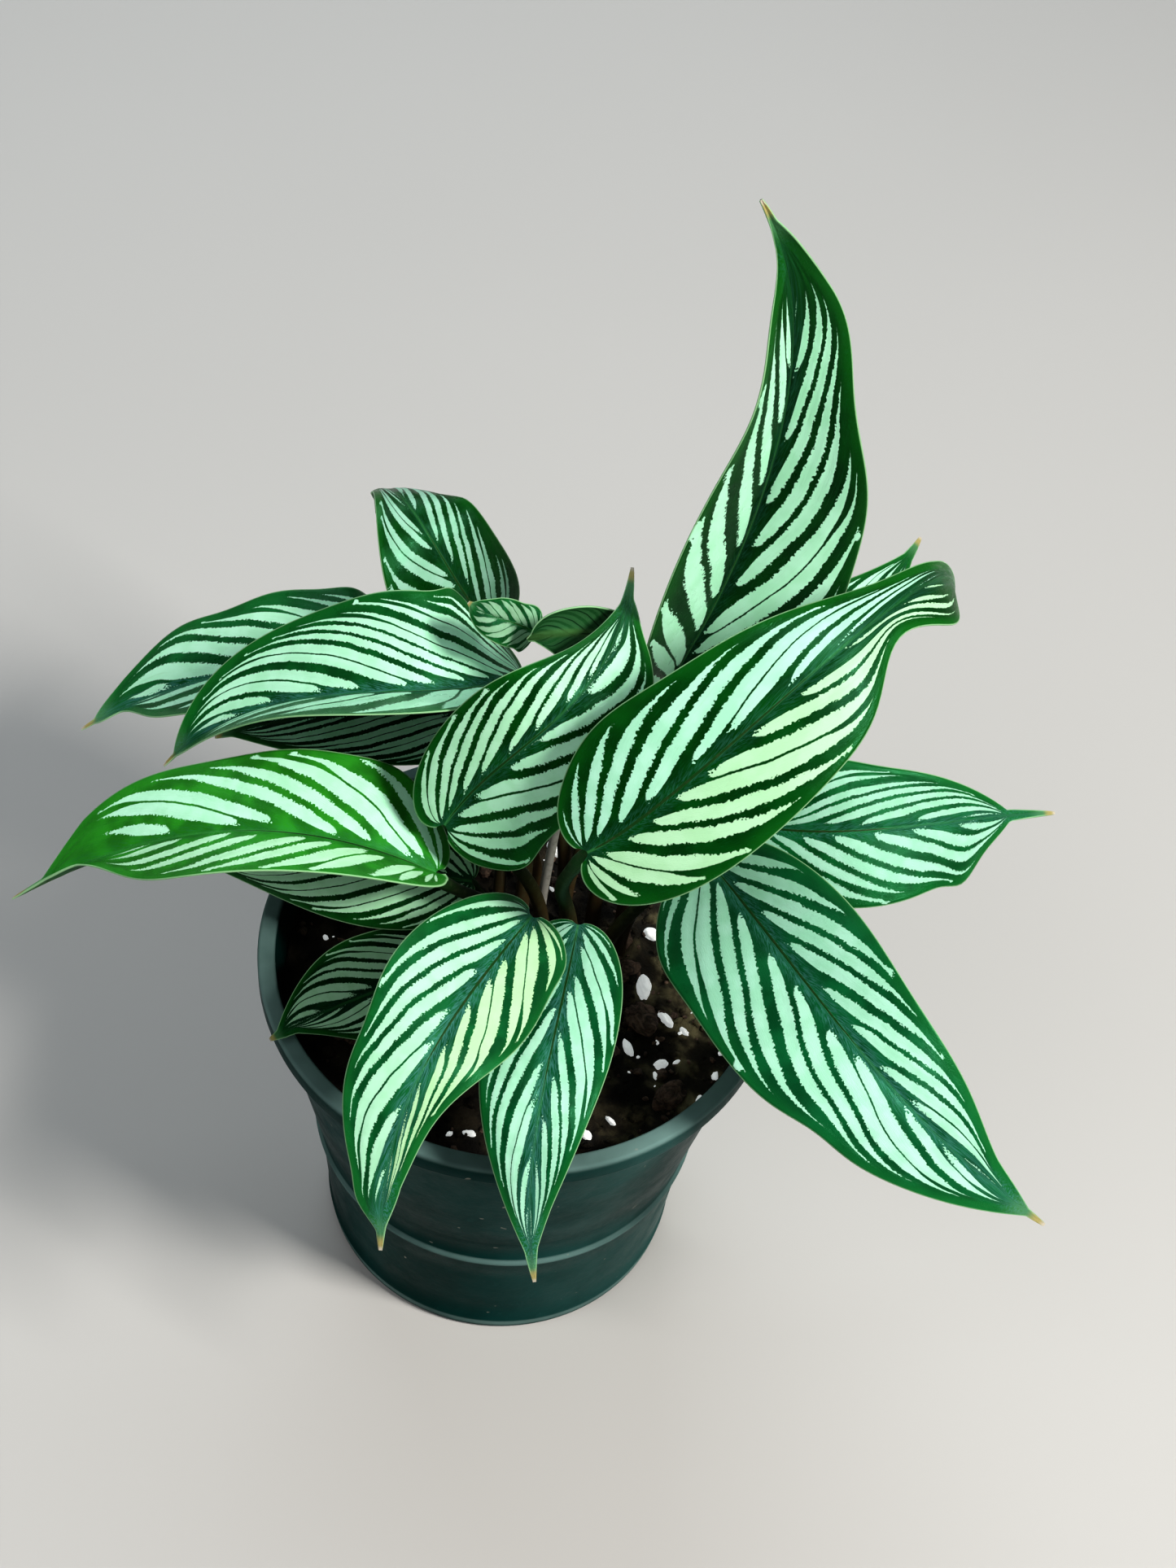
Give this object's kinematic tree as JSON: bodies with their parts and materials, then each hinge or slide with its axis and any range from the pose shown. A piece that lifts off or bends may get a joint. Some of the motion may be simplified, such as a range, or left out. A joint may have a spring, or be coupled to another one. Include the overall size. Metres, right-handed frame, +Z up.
{
  "type": "potted calathea vittata",
  "caption": "Compact foliage plant with pointed leaves striped pale and dark green, growing from soil in a plain dark green round nursery pot.",
  "frame": {"origin": "middle of the pot's underside, where it rests", "axes": "+Z up along the pot's axis, -Y towards the front of the plant as seen in the picture, +X to the right"},
  "size_m": [0.2086, 0.1655, 0.2377],
  "materials": {
    "pot_plastic": "dark green polypropylene with a soft satin sheen and faint scuffs",
    "soil": "dark loose potting soil with bark lumps and white perlite grains",
    "leaf": "satin leaf, dark green with pale mint stripes that run from the midrib to the margin, grey green underneath"
  },
  "bodies": {
    "root": {"pot": "pot_plastic", "soil": "soil", "tall_leaf": "leaf", "broad_right_leaf": "leaf", "centre_leaf": "leaf", "low_left_leaf": "leaf", "middle_left_leaf": "leaf", "back_left_leaf": "leaf", "arched_back_leaf": "leaf", "right_leaf": "leaf", "low_right_leaf": "leaf", "front_left_leaf": "leaf", "front_leaf": "leaf", "small_left_leaf": "leaf", "under_left_leaf": "leaf", "second_left_leaf": "leaf", "hidden_right_leaf": "leaf", "folded_leaf": "leaf", "young_leaf": "leaf"}
  },
  "joints": []
}
